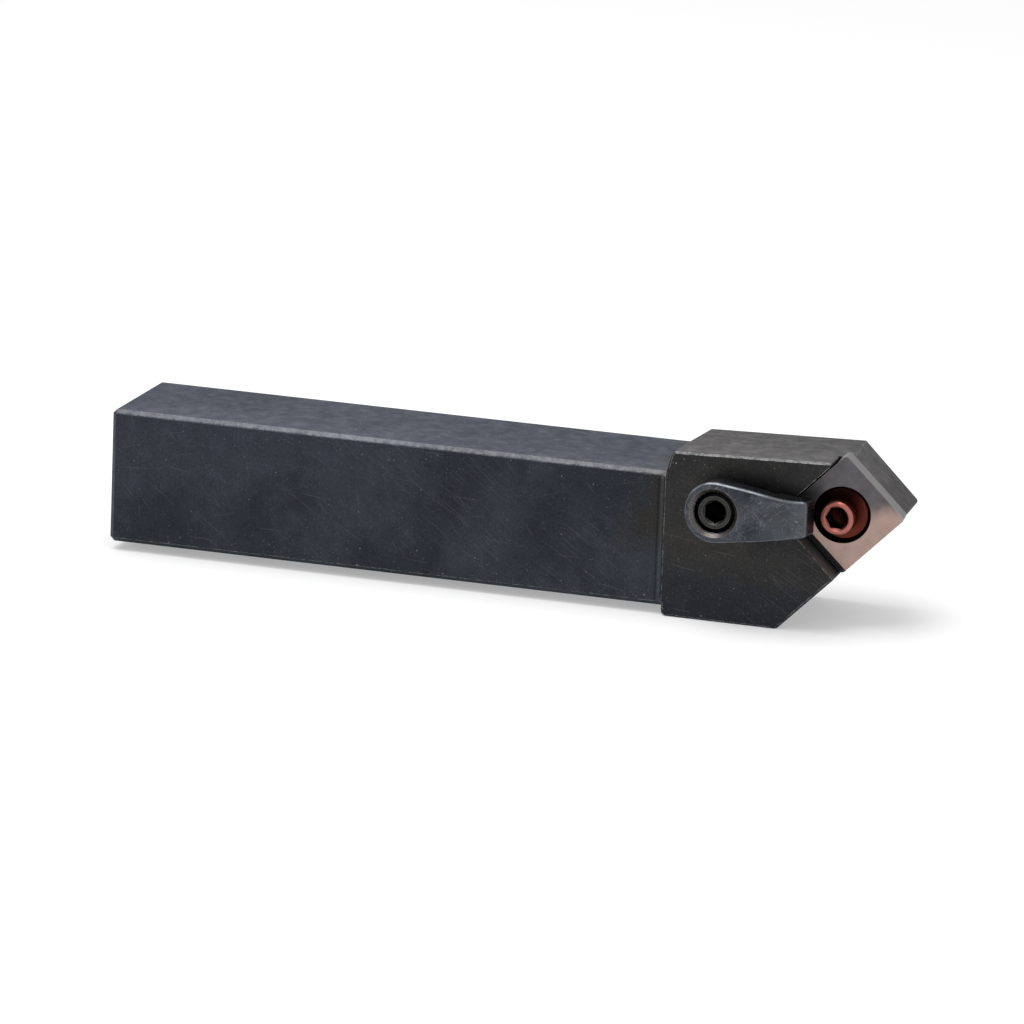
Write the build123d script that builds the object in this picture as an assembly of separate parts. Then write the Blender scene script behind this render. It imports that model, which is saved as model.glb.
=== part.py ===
from build123d import *
import os
from math import atan, cos, degrees, radians, sin, sqrt, tan

os.makedirs("parts", exist_ok=True)

# External turning tool holder for a square negative insert, 45 degree approach,
# offset shank, with a lock pin through the insert and a clamp on top of it.
# It lies on its side: +X runs along the shank to the tip, -Y is the side that the
# chip runs over, and +Z points to the side corner of the insert.
# The origin is the centre of the shank's rear end face. Lengths are in mm.

# Shank, 1 1/4 in square bar
SHANK_W = 31.75
SHANK_H = 31.75
SHANK_EDGE = 1.0

# Side corner of the insert, measured from the shank's rear end and its lower side: the
# reach to the sharp corner, the offset to the rounded one. The nose stands further out
REACH = 177.8
OFFSET = 38.1
SEAT_RAKE = 5.0

# Insert that the seat is made for, and the shim below it, a little wider and set back
INSERT_IC = 19.05
INSERT_T = 6.35
INSERT_R = 1.19
SHIM_OVER = 0.8
SHIM_SET_BACK = 0.15
SHIM_T = 4.76
SHIM_CORNER_R = 0.9
SHIM_BEVEL = 1.4
SHIM_BEVEL_DEPTH = 0.6
SHIM_BORE_GAP = 0.45
SHIM_STEP_T = 1.16

# Head of the holder
SHOULDER_X = 135.8
FACE_PROUD = 1.2
HEAD_TOP_REAR = 37.0
HEAD_TOP_RISE = 2.0
HEAD_TOP_RELIEF = 3.2
HEAD_BOTTOM_DROP = 2.0
HEAD_CORNER_R = 1.3
FLANK_CORNER_R = 1.6
RAMP_RUN = 1.2
RAMP_HEIGHT = 4.6
RAMP_EDGE = 0.7
COVE_LENGTH = 2.0
HEAD_EDGE = 0.4
BACK_EDGE = 0.5

# Flanks below the insert
MAIN_RELIEF = 4.3
LOWER_RELIEF = 2.3
LOWER_SETBACK = 0.28
NOSE_R = 0.8

# Pocket walls, and the gap that they leave round the shim on the pocket's floor
WALL_GAP = 0.06
WALL_LEAN = 3.8
WALL_END_R = 0.5
POCKET_CORNER_R = 1.8

# Lock pin, square to the shank's side, so that it leans back over the tilted seat
PIN_D = 7.9
PIN_SET_BACK = 0.6
PIN_ECCENTRIC = 0.5
PIN_TURN = 225
PIN_STANDS = 4.45
PIN_COLLAR_D = 12.3
PIN_COLLAR_T = 1.05
PIN_COLLAR_SINK = 1.75
PIN_STEM_D = 7.9
PIN_STEM_L = 15.0
PIN_EDGE = 0.35

# Clamp screw and clamp
SCREW_D = 9.52
SCREW_L = 25.4
SCREW_SINK = 1.0
SCREW_EDGE = 0.95
SCREW_NECK_D = 7.6
SCREW_NECK_L = 2.4
SCREW_BEHIND = 13.53
SCREW_RISE = 0.63
CLAMP_H = 8.6
CLAMP_R = 7.2
CLAMP_REACH = 21.8
CLAMP_TIP_W = 8.6
CLAMP_WAIST_W = 8.9
CLAMP_ARCH = 4.4
CLAMP_BOSS_R = 6.8
CLAMP_PAD = 7.3
CLAMP_TIP_LEAN = 0.7
CLAMP_TIP_T = 3.9
CLAMP_NOSE_START = 7.0
CLAMP_NOSE_SLOPE = 0.45
CLAMP_EDGE_R = 1.0
CLAMP_CORNER_R = 1.2
CLAMP_LEAD = 0.9

# Hexagon sockets and running clearances
HEX_AF = 4.76
HEX_DEPTH = 5.0
THREAD_GAP = 0.05
STEM_GAP = 0.25
NOSE_GAP = 0.1

# Seat plane: X to the nose, Y up to the side corner, Z out of the seat
TILT = degrees(atan(sqrt(2) * tan(radians(SEAT_RAKE))))
SIN_T = sin(radians(TILT))
COS_T = cos(radians(TILT))
DIAG = INSERT_IC / sqrt(2)
SHIM_W = INSERT_IC + SHIM_OVER
Y_FACE = -SHANK_H / 2
Y_HEAD = Y_FACE - FACE_PROUD
Z_LOW = -SHANK_W / 2
SEAT_X = REACH - INSERT_T * SIN_T
SEAT_Y = Y_FACE + INSERT_T * COS_T - DIAG * SIN_T
SEAT_Z = Z_LOW + OFFSET + INSERT_R * (sqrt(2) - 1) - DIAG
seat = Plane(origin=(SEAT_X, SEAT_Y, SEAT_Z), x_dir=(COS_T, SIN_T, 0), z_dir=(SIN_T, -COS_T, 0))
shim_centre = seat * Pos(-SHIM_SET_BACK, 0, 0)
collar_centre = seat.from_local_coords(Vector(-PIN_SET_BACK, 0, -PIN_COLLAR_SINK))
pin_axis = Plane(origin=collar_centre, x_dir=(1, 0, 0), z_dir=(0, -1, 0))
head_face = Plane(origin=(0, Y_HEAD, 0), x_dir=(1, 0, 0), z_dir=(0, -1, 0))
SCREW_X = SEAT_X - DIAG - SCREW_BEHIND
SCREW_Z = SEAT_Z + SCREW_RISE
screw_plane = Plane(origin=(SCREW_X, Y_HEAD, SCREW_Z), x_dir=(1, 0, 0), z_dir=(0, -1, 0))


def hex_socket(depth, turn):
    """Hexagon socket with its mouth chamfer and drill point, opening upward at z = 0."""
    across_corners = HEX_AF / cos(radians(30))
    broach = extrude(RegularPolygon(across_corners / 2, 6, rotation=turn), -depth)
    profile = Polyline(
        (0, 0.01),
        (across_corners / 2 + 0.25, 0.01),
        (HEX_AF / 2 - 0.1, -0.65),
        (HEX_AF / 2 - 0.1, -depth),
        (0, -depth - 1.2),
        close=True,
    )
    mouth = revolve(Plane.XZ * make_face(profile), Axis.Z)
    return broach + mouth


# Holder body: bar, head and the cove between them
head_length = SEAT_X + DIAG + 2 - SHOULDER_X
top_rear_z = Z_LOW + HEAD_TOP_REAR
top_front_z = top_rear_z + head_length * tan(radians(HEAD_TOP_RISE))
head_outline = Polyline(
    (SHOULDER_X, Z_LOW - HEAD_BOTTOM_DROP),
    (SHOULDER_X + head_length, Z_LOW - HEAD_BOTTOM_DROP),
    (SHOULDER_X + head_length, top_front_z),
    (SHOULDER_X + RAMP_RUN + RAMP_EDGE, top_rear_z),
    (SHOULDER_X + RAMP_RUN, top_rear_z - RAMP_EDGE),
    (SHOULDER_X, top_rear_z - RAMP_EDGE - RAMP_HEIGHT),
    close=True,
)
head = extrude(head_face * make_face(head_outline), -(SHANK_H + FACE_PROUD))
low_rear = head.edges().filter_by(Axis.Y).sort_by(Axis.Z)[:2].sort_by(Axis.X)[0]
head = fillet(low_rear, HEAD_CORNER_R)

# Upper side falls away towards the back
rise = radians(HEAD_TOP_RISE)
relief = radians(HEAD_TOP_RELIEF)
upper_side = Plane(
    origin=(SHOULDER_X + RAMP_RUN + RAMP_EDGE, Y_HEAD, top_rear_z),
    z_dir=(-sin(rise) * cos(relief), sin(relief), cos(rise) * cos(relief)),
)
head = split(head, bisect_by=upper_side, keep=Keep.BOTTOM)

# Main flank starts flush with the lower edge of the shim
main_angle = radians(MAIN_RELIEF)
main_reach = SHIM_W / sqrt(2) - SHIM_SET_BACK
main_flank = Plane(
    origin=seat.from_local_coords(Vector(main_reach, 0, -SHIM_T)),
    z_dir=seat.from_local_coords(
        Vector(cos(main_angle) / sqrt(2), cos(main_angle) / sqrt(2), -sin(main_angle))
    ) - seat.origin,
)
head = split(head, bisect_by=main_flank, keep=Keep.BOTTOM)

# Lower flank, set back a little from the shim's lower side, runs on to the underside
lower_angle = radians(LOWER_RELIEF)
lower_reach = (SHIM_W - 2 * LOWER_SETBACK) / sqrt(2)
lower_flank = Plane(
    origin=(SEAT_X + lower_reach / 2, Y_HEAD, SEAT_Z - lower_reach / 2),
    z_dir=(cos(lower_angle) / sqrt(2), sin(lower_angle), -cos(lower_angle) / sqrt(2)),
)
head = split(head, bisect_by=lower_flank, keep=Keep.BOTTOM)

nose_edge = head.edges().filter_by(GeomType.LINE).sort_by(Axis.X)[-1]
head = fillet(nose_edge, NOSE_R)
flank_corner = head.faces().sort_by(Axis.Z)[0].edges().sort_by(Axis.X)[-1]
head = fillet(flank_corner, FLANK_CORNER_R)
head = chamfer(head.faces().sort_by(Axis.Y)[0].edges(), HEAD_EDGE)
head = chamfer(head.faces().sort_by(Axis.Y)[-1].edges(), BACK_EDGE)

shank = Box(SHOULDER_X + 1, SHANK_H, SHANK_W, align=(Align.MIN, Align.CENTER, Align.CENTER))
shank = chamfer(shank.edges().filter_by(Axis.X) + shank.faces().sort_by(Axis.X)[0].edges(), SHANK_EDGE)

cove_r = (COVE_LENGTH**2 + FACE_PROUD**2) / (2 * FACE_PROUD)
cove_mid_x = COVE_LENGTH / 2
cove_mid_y = cove_r - sqrt(cove_r**2 - cove_mid_x**2)
cove_profile = make_face(
    [
        ThreePointArc(
            (SHOULDER_X - COVE_LENGTH, Y_FACE),
            (SHOULDER_X - COVE_LENGTH + cove_mid_x, Y_FACE - cove_mid_y),
            (SHOULDER_X, Y_HEAD),
        ),
        Line((SHOULDER_X, Y_HEAD), (SHOULDER_X + 1, Y_HEAD)),
        Line((SHOULDER_X + 1, Y_HEAD), (SHOULDER_X + 1, Y_FACE + 0.5)),
        Line((SHOULDER_X + 1, Y_FACE + 0.5), (SHOULDER_X - COVE_LENGTH, Y_FACE + 0.5)),
        Line((SHOULDER_X - COVE_LENGTH, Y_FACE + 0.5), (SHOULDER_X - COVE_LENGTH, Y_FACE)),
    ]
)
cove_half = SHANK_W / 2 - SHANK_EDGE
cove = Pos(0, 0, -cove_half) * extrude(cove_profile, 2 * cove_half)
holder_body = shank + cove + head

# Insert pocket: two walls at right angles round the shim, leaning out a little
wall = SHIM_W / 2 + WALL_GAP
open_side = 3 * INSERT_IC
pocket_floor = shim_centre * Pos(0, 0, -SHIM_T)
pocket_sketch = Rot(0, 0, -45) * Pos(open_side / 2 - wall, open_side / 2 - wall) * Rectangle(open_side, open_side)
pocket = extrude(pocket_floor * pocket_sketch, 4 * INSERT_T, taper=-WALL_LEAN)
corner_hole = extrude(
    pocket_floor * Pos(-wall * sqrt(2) + POCKET_CORNER_R * 0.6, 0, 0) * Circle(POCKET_CORNER_R),
    4 * INSERT_T,
)
pin_hole = extrude(pin_axis * Circle(PIN_STEM_D / 2 + THREAD_GAP), -2 * SHANK_H)
screw_hole = extrude(screw_plane * Circle(SCREW_D / 2 + THREAD_GAP), -(SHANK_H + FACE_PROUD))
screw_hole_mouth = screw_plane * Cone(
    SCREW_D / 2 + THREAD_GAP,
    SCREW_D / 2 + THREAD_GAP + 0.5,
    0.5,
    align=(Align.CENTER, Align.CENTER, Align.MAX),
)
holder_body = holder_body - pocket
crosswise = holder_body.edges().filter_by(lambda edge: abs(edge.tangent_at(0.5).Y) > 0.9)
wall_end = crosswise.sort_by(Axis.Z)[-2:].sort_by(Axis.Y)[0]
holder_body = fillet(wall_end, WALL_END_R)
holder_body = holder_body - corner_hole - pin_hole - screw_hole - screw_hole_mouth
export_step(holder_body, "parts/holder_body.step")

# Shim: ground square plate, its bore stepped so that the collar holds it down
shim_blank = Rot(0, 0, 45) * Box(SHIM_W, SHIM_W, SHIM_T, align=(Align.CENTER, Align.CENTER, Align.MAX))
shim = fillet(shim_blank.edges().filter_by(Axis.Z), SHIM_CORNER_R)
bevel_start = (SHIM_W / 2 - SHIM_BEVEL) / sqrt(2)
bevel = Plane(
    origin=(-bevel_start, -bevel_start, 0),
    z_dir=(-SHIM_BEVEL_DEPTH / sqrt(2), -SHIM_BEVEL_DEPTH / sqrt(2), SHIM_BEVEL),
)
shim = split(shim, bisect_by=bevel, keep=Keep.BOTTOM)
shim = shim_centre * shim
shim_bore = seat * Pos(-PIN_SET_BACK, 0, 0) * Circle(PIN_COLLAR_D / 2 + SHIM_BORE_GAP)
shim = shim - extrude(shim_bore, SHIM_STEP_T - SHIM_T)
shim = shim - extrude(pin_axis * Circle(PIN_STEM_D / 2 + STEM_GAP), -SHIM_T)
export_step(shim, "parts/shim.step")

# Lock pin: threaded stem, collar down in the shim and an eccentric upper cylinder
stem = extrude(Circle(PIN_STEM_D / 2), -(PIN_COLLAR_T + PIN_STEM_L))
stem = chamfer(stem.faces().sort_by(Axis.Z)[0].edges(), SCREW_EDGE)
collar = extrude(Circle(PIN_COLLAR_D / 2), -PIN_COLLAR_T)
collar = chamfer(collar.faces().sort_by(Axis.Z)[-1].edges(), PIN_EDGE)
upper_centre = Rot(0, 0, PIN_TURN) * Pos(PIN_ECCENTRIC, 0, 0)
upper_foot = upper_centre * Pos(0, 0, -PIN_COLLAR_T / 2)
upper = upper_foot * extrude(Circle(PIN_D / 2), PIN_COLLAR_T / 2 + PIN_STANDS)
upper = chamfer(upper.faces().sort_by(Axis.Z)[-1].edges(), PIN_EDGE)
lock_pin = stem + collar + upper
socket = Pos((upper_centre * Pos(0, 0, PIN_STANDS)).position) * hex_socket(HEX_DEPTH, 0)
lock_pin = pin_axis * (lock_pin - socket)
export_step(lock_pin, "parts/lock_pin.step")

# Clamp screw: opposite threads on its two ends, a neck between them, a socket in each end
screw_top = CLAMP_H - SCREW_SINK
screw = extrude(Circle(SCREW_D / 2), SCREW_L)
screw = chamfer(screw.faces().sort_by(Axis.Z)[0].edges(), SCREW_EDGE)
screw = chamfer(screw.faces().sort_by(Axis.Z)[-1].edges(), SCREW_EDGE)
neck = extrude(Circle(SCREW_D), SCREW_NECK_L) - extrude(Circle(SCREW_NECK_D / 2), SCREW_NECK_L)
screw = screw - Pos(0, 0, SCREW_L - screw_top - SCREW_NECK_L) * neck
screw = screw - Pos(0, 0, SCREW_L) * hex_socket(HEX_DEPTH, 30)
screw = screw - Rot(180, 0, 0) * hex_socket(HEX_DEPTH, 30)
clamp_screw = screw_plane * Pos(0, 0, screw_top - SCREW_L) * screw
export_step(clamp_screw, "parts/clamp_screw.step")

# Clamp: plan outline, waisted on its upper edge, crossed with a side profile. The rim is
# rounded and the round boss under the screw end joins below
tip_x = CLAMP_REACH
tip_half = CLAMP_TIP_W / 2
waist_half = CLAMP_WAIST_W / 2
start_angle = radians(82)
start = Vector(CLAMP_R * cos(start_angle), CLAMP_R * sin(start_angle))
waist_x = 0.78 * CLAMP_REACH
upper_edge = Spline(
    start,
    Vector(0.45 * tip_x, 0.51 * (start.Y + waist_half)),
    Vector(waist_x, waist_half),
    Vector(tip_x, tip_half),
    tangents=[Vector(sin(start_angle), -cos(start_angle)), Vector(1, 0.05)],
)
lower_edge = Spline(
    Vector(start.X, -start.Y),
    Vector(0.45 * tip_x, -0.51 * (start.Y + waist_half)),
    Vector(tip_x, -tip_half),
    tangents=[Vector(sin(start_angle), cos(start_angle)), Vector(1, 0.14)],
)
plan_outline = make_face(
    [
        upper_edge,
        Line((tip_x, tip_half), (tip_x + 1, tip_half)),
        Line((tip_x + 1, tip_half), (tip_x + 1, -tip_half)),
        Line((tip_x + 1, -tip_half), (tip_x, -tip_half)),
        lower_edge,
        ThreePointArc((start.X, -start.Y), (-CLAMP_R, 0), (start.X, start.Y)),
    ]
)
clamp_plan = extrude(plan_outline, CLAMP_H + 1)

# The pad under the nose lies on the insert's upper face, which falls towards the nose
pad_x = tip_x - CLAMP_PAD
insert_rise = INSERT_T / COS_T + NOSE_GAP


def pad_height(x):
    """Height of the insert's upper face above the head face, at x from the screw."""
    return Y_HEAD - SEAT_Y + insert_rise - (SCREW_X + x - SEAT_X) * tan(radians(TILT))


tip_low = pad_height(tip_x)
pad_low = pad_height(pad_x)
side_profile = make_face(
    [
        Line((-CLAMP_R - 1, CLAMP_ARCH), (pad_x - 1, CLAMP_ARCH)),
        Line((pad_x - 1, CLAMP_ARCH), (pad_x, pad_low)),
        Line((pad_x, pad_low), (tip_x, tip_low)),
        Line((tip_x, tip_low), (tip_x - CLAMP_TIP_LEAN, tip_low + CLAMP_TIP_T)),
        Spline(
            (tip_x - CLAMP_TIP_LEAN, tip_low + CLAMP_TIP_T),
            (CLAMP_NOSE_START, CLAMP_H),
            tangents=[(-1, CLAMP_NOSE_SLOPE), (-1, 0)],
        ),
        Line((CLAMP_NOSE_START, CLAMP_H), (-CLAMP_R - 1, CLAMP_H)),
        Line((-CLAMP_R - 1, CLAMP_H), (-CLAMP_R - 1, CLAMP_ARCH)),
    ]
)
clamp_side = Pos(0, CLAMP_R + 1, 0) * extrude(Plane.XZ * side_profile, 2 * CLAMP_R + 2)
clamp = clamp_plan & clamp_side
tip_face = clamp.faces().sort_by(Axis.X)[-1]
tip_corners = [edge for edge in tip_face.edges() if abs(edge.tangent_at(0.5).Y) < 0.5]
clamp = fillet(tip_corners, CLAMP_CORNER_R)
upper_faces = [
    face
    for face in clamp.faces()
    if face.normal_at(face.center()).Z > 0.7 and face.center().Z > tip_low + 1
]
rim = [
    edge
    for face in upper_faces
    for edge in face.edges()
    if abs(edge.tangent_at(0.5).Y) < 0.9 or edge.center().X < 0
]
clamp = fillet(rim, CLAMP_EDGE_R)
clamp = clamp + extrude(Circle(CLAMP_BOSS_R), CLAMP_ARCH + 1)
bore_r = SCREW_D / 2 + THREAD_GAP
clamp = clamp - extrude(Circle(bore_r), CLAMP_H)
clamp = clamp - Pos(0, 0, CLAMP_H) * Cone(
    bore_r, bore_r + CLAMP_LEAD, CLAMP_LEAD, align=(Align.CENTER, Align.CENTER, Align.MAX)
)
clamp = screw_plane * clamp
export_step(clamp, "parts/clamp.step")
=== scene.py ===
# %% [markdown]
# # External turning tool
# A lathe tool holder lies on a white table: a long square steel shank, and a head with a
# pocket for a square cutting insert. The pocket is empty, so its shim, its copper-coloured
# lock pin and the clamp above them can be seen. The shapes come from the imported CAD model,
# and this notebook gives them their finishes, the light and the camera.

# %% Load the tool
import bpy
import math
from mathutils import Matrix, Vector


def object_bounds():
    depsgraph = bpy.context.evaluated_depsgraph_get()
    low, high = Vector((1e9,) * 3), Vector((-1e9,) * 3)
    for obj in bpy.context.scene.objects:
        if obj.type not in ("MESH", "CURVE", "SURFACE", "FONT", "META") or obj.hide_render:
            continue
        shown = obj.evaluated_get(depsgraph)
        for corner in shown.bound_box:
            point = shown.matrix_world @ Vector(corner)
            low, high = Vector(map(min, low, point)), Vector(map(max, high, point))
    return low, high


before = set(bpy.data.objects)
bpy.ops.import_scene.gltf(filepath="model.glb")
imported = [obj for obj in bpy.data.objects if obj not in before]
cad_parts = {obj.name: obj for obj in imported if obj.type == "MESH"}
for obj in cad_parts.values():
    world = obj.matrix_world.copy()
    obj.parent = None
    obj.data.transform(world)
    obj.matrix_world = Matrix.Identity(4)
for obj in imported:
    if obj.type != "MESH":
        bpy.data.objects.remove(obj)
cad_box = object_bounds()
for name, piece in sorted(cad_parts.items()):
    print(name, len(piece.data.polygons), "faces, slots", [s.name for s in piece.material_slots])

# %% [markdown]
# ## Two helpers
# Colours are read from the photograph as sRGB hex values, while shaders work in linear
# light, so one function turns the one into the other. A second function adds a node with
# its settings and its links in one line, which keeps the material recipes readable: a
# value that is itself a node is linked from that node's first enabled output.

# %% Colour and node helpers
MM = 0.001  # a millimetre in metres
SMOOTH = {"interpolation_type": "SMOOTHSTEP"}  # makes a ramp with soft ends
COLOURS = {"data_type": "RGBA"}  # makes a mix of two colours
# A Mix node has two inputs for every kind of value. These are the places of its share and
# of its two colours, and the place of the mixed colour among its outputs.
SHARE, FROM, TO, MIXED = 0, 6, 7, 2


def linear(hex_colour):
    """An sRGB hex value as linear red, green, blue and alpha, by the standard sRGB curve."""
    parts = [int(hex_colour[i:i + 2], 16) / 255 for i in (1, 3, 5)]
    return [c / 12.92 if c <= 0.04045 else ((c + 0.055) / 1.055) ** 2.4 for c in parts] + [1.0]


def add(tree, kind, inputs=(), **settings):
    """Adds a node. Its inputs come in order, or by name or number, as values or as links."""
    node = tree.nodes.new("ShaderNode" + kind)
    for key, value in settings.items():
        setattr(node, key, value)
    for key, value in (inputs.items() if isinstance(inputs, dict) else enumerate(inputs)):
        if isinstance(value, bpy.types.Node):
            value = next(socket_shade for socket_shade in value.outputs if socket_shade.enabled)
        if isinstance(value, bpy.types.NodeSocket):
            tree.links.new(value, node.inputs[key])
        else:
            node.inputs[key].default_value = value
    return node


print("steel grey", [round(c, 3) for c in linear("#32353c")])

# %% [markdown]
# ## A plan of every side
# Wear lies in the surface, so its pattern is best drawn flat, like a plan of the side that
# is being looked at. The sides that face the viewer use X and Z. All the others use their
# own direction square to Y, and Y itself. Both are in millimetres, so a spacing of 5 in a
# recipe is 5 mm on the tool, on every side.

# %% Start a material with its plan
def start_material(name):
    """A new material and its tree, with the place in millimetres, a flat plan of each side,
    the place's three parts, and the three parts of the way that the side faces."""
    material = bpy.data.materials.new(name)
    material.use_nodes = True
    tree = material.node_tree
    tree.nodes.clear()
    here = add(tree, "TexCoord").outputs["Object"]
    place = add(tree, "VectorMath", (here, (1 / MM, 1 / MM, 1 / MM)), operation="MULTIPLY")
    normal = add(tree, "NewGeometry").outputs["True Normal"]
    normal = add(tree, "VectorTransform", (normal,), vector_type="NORMAL",
                 convert_from="WORLD", convert_to="OBJECT")
    xyz = add(tree, "SeparateXYZ", (place,)).outputs
    facing = add(tree, "SeparateXYZ", (normal,)).outputs
    front = add(tree, "CombineXYZ", (xyz["X"], xyz["Z"], 0.0))
    sideways = add(tree, "VectorMath", (normal, (0, 1, 0)), operation="CROSS_PRODUCT")
    along = add(tree, "VectorMath", (place, sideways), operation="DOT_PRODUCT").outputs["Value"]
    edge_on = add(tree, "CombineXYZ", (along, xyz["Y"], 0.0))
    towards = add(tree, "Math", (facing["Y"],), operation="ABSOLUTE")
    is_front = add(tree, "Math", (towards, 0.5), operation="GREATER_THAN")
    # inputs 4 and 5 are the Mix node's two vectors
    plan = add(tree, "Mix", {SHARE: is_front, 4: edge_on, 5: front}, data_type="VECTOR")
    return material, tree, place, plan, xyz, facing


print("plans are drawn with", round(1 / MM), "units to the metre")

# %% [markdown]
# ## Three kinds of wear
# Handling leaves three marks on a blackened tool. Hairlines are straight fine scratches:
# each lies in its own long, narrow cell of a Voronoi pattern, so no two look alike. Nicks
# are small bright dents: dots at the middle of a few cells. Worn edges are found by the
# Bevel node, which rounds the normal near an edge and so differs from the true one there.
# All three are drawn by nodes, as they are far too fine to cut into a mesh.

# %% Hairlines
def hairlines(tree, plan, angle, length, spacing, width, share):
    """Scratches that run down to the right at this angle; a share of the cells has one."""
    turned = add(tree, "Mapping", {"Vector": plan, "Rotation": (0, 0, math.radians(angle))})
    # a cell is as long as a scratch and as wide as the spacing
    cells = add(tree, "VectorMath", (turned, (1 / length, 1 / spacing, 0)), operation="MULTIPLY")
    cell = add(tree, "TexVoronoi", {"Vector": cells, "Scale": 1.0}, voronoi_dimensions="2D")
    away = add(tree, "VectorMath", (cells, cell.outputs["Position"]), operation="SUBTRACT")
    away = add(tree, "VectorMath", (away,), operation="ABSOLUTE")
    away = add(tree, "SeparateXYZ", (away,))
    # thin across, with blurred sides, and fading out along the cell
    thin = add(tree, "MapRange", {"Value": away.outputs["Y"], "From Min": 0.8 * width / spacing,
                                  "From Max": 0.3 * width / spacing}, **SMOOTH)
    ends = add(tree, "MapRange", {"Value": away.outputs["X"], "From Min": 0.45, "From Max": 0.15})
    pick = add(tree, "SeparateColor", (cell.outputs["Color"],)).outputs["Red"]
    pick = add(tree, "MapRange", {"Value": pick, "From Min": 1 - share,
                                  "From Max": 1 - 0.5 * share})
    line = add(tree, "Math", (thin, ends), operation="MULTIPLY")
    return add(tree, "Math", (line, pick), operation="MULTIPLY")


print("hairlines ready")

# %% [markdown]
# ## Dents and edges
# A nick is a round dot at the middle of a Voronoi cell, and only some cells have one. An
# edge is where the rounded and the true normal differ, so none has to be picked by hand.

# %% Nicks and worn edges
def nicks(tree, plan, spacing, radius, share):
    """Round bright dents of this radius, one in a share of the cells."""
    cell = add(tree, "TexVoronoi", {"Vector": plan, "Scale": 1 / spacing}, voronoi_dimensions="2D")
    dot = add(tree, "MapRange", {"Value": cell, "From Min": radius / spacing,
                                 "From Max": 0.4 * radius / spacing}, **SMOOTH)
    pick = add(tree, "SeparateColor", (cell.outputs["Color"],)).outputs["Red"]
    pick = add(tree, "MapRange", {"Value": pick, "From Min": 1 - share,
                                  "From Max": 1 - 0.4 * share})
    return add(tree, "Math", (dot, pick), operation="MULTIPLY")


def worn_edges(tree, radius):
    """1 on sharp edges and 0 on flats, by how far the rounded and the true normal agree."""
    rounded = add(tree, "Bevel", {"Radius": radius * MM}, samples=6)
    real = add(tree, "NewGeometry").outputs["True Normal"]
    agree = add(tree, "VectorMath", (rounded, real), operation="DOT_PRODUCT").outputs["Value"]
    return add(tree, "MapRange", {"Value": agree, "From Min": 0.99, "From Max": 0.93}, **SMOOTH)


print("nicks and worn edges ready")

# %% [markdown]
# ## Black oxide on the holder
# The holder is milled and ground from alloy steel and then blackened in a hot salt bath.
# The oxide is only a micrometre thick, so the steel below still shines through as a dark
# satin metal: blue-grey on the shank, and a more neutral grey on the head, with a trace of
# brown. So it is a metal with a dark colour, and not a black paint. Noise in real sizes
# mixes its tones, because a picture wrapped on the tool would stretch on its sides.

# %% Holder clouds and mottling
holder_finish, tree, place, plan, xyz, facing = start_material("black_oxide_milled_steel")

# clouds of tint, about 22 mm across, blotches, 4 mm across, and a fine mottling, 0.6 mm
# across, which is drawn a little coarser than the real grain so that it shows
clouds = add(tree, "TexNoise", {"Vector": place, "Scale": 0.045, "Detail": 4.0,
                                "Roughness": 0.6})
clouds = add(tree, "MapRange", {"Value": clouds, "From Min": 0.40, "From Max": 0.60}, **SMOOTH)
blotches = add(tree, "TexNoise", {"Vector": plan, "Scale": 0.26, "Detail": 6.0,
                                  "Roughness": 0.68})
mottle = add(tree, "TexNoise", {"Vector": plan, "Scale": 1.7, "Detail": 3.0, "Roughness": 0.7})
shank_tint = add(tree, "Mix", {SHARE: clouds, FROM: linear("#2c2f35"), TO: linear("#363940")},
                 **COLOURS).outputs[MIXED]
head_tint = add(tree, "Mix", {SHARE: clouds, FROM: linear("#2e2e2f"), TO: linear("#353433")},
                **COLOURS).outputs[MIXED]
print("clouds", round(1 / 0.045), "mm, blotches", round(1 / 0.26), "mm across")

# %% [markdown]
# ## Where the tones change
# The salt bath and the heat of cutting have left tones that follow the place on the tool: the head
# goes to blue again at its foot, and the last stretch of the shank is a little brown. The lower
# pocket wall is painted lighter, as painted light in the pocket. Ramps along X and Z find these
# places, and the clouds make their borders ragged.

# %% Holder tones by place
TONE_BEGINS, TONE_FULL = 134.0, 136.5  # X where the head's tone begins and is complete

drift = add(tree, "Math", (clouds, -7.0, xyz["Z"]), operation="MULTIPLY_ADD")
low_head = add(tree, "MapRange", {"Value": drift, "From Min": -8.0, "From Max": -19.0}, **SMOOTH)
head_tint = add(tree, "Mix", {SHARE: low_head, FROM: head_tint, TO: linear("#2b2d32")},
                **COLOURS).outputs[MIXED]
brown = add(tree, "Math", (clouds, 9.0, xyz["X"]), operation="MULTIPLY_ADD")
brown = add(tree, "MapRange", {"Value": brown, "From Min": 126.0, "From Max": 138.0}, **SMOOTH)
high = add(tree, "MapRange", {"Value": xyz["Z"], "From Min": -6.0, "From Max": 3.0}, **SMOOTH)
brown = add(tree, "Math", (brown, high), operation="MULTIPLY")
shank_tint = add(tree, "Mix", {SHARE: brown, FROM: shank_tint, TO: linear("#31302f")},
                 **COLOURS).outputs[MIXED]
on_head = add(tree, "MapRange", {"Value": xyz["X"], "From Min": TONE_BEGINS,
                                 "From Max": TONE_FULL})
tint = add(tree, "Mix", {SHARE: on_head, FROM: shank_tint, TO: head_tint},
           **COLOURS).outputs[MIXED]
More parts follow.
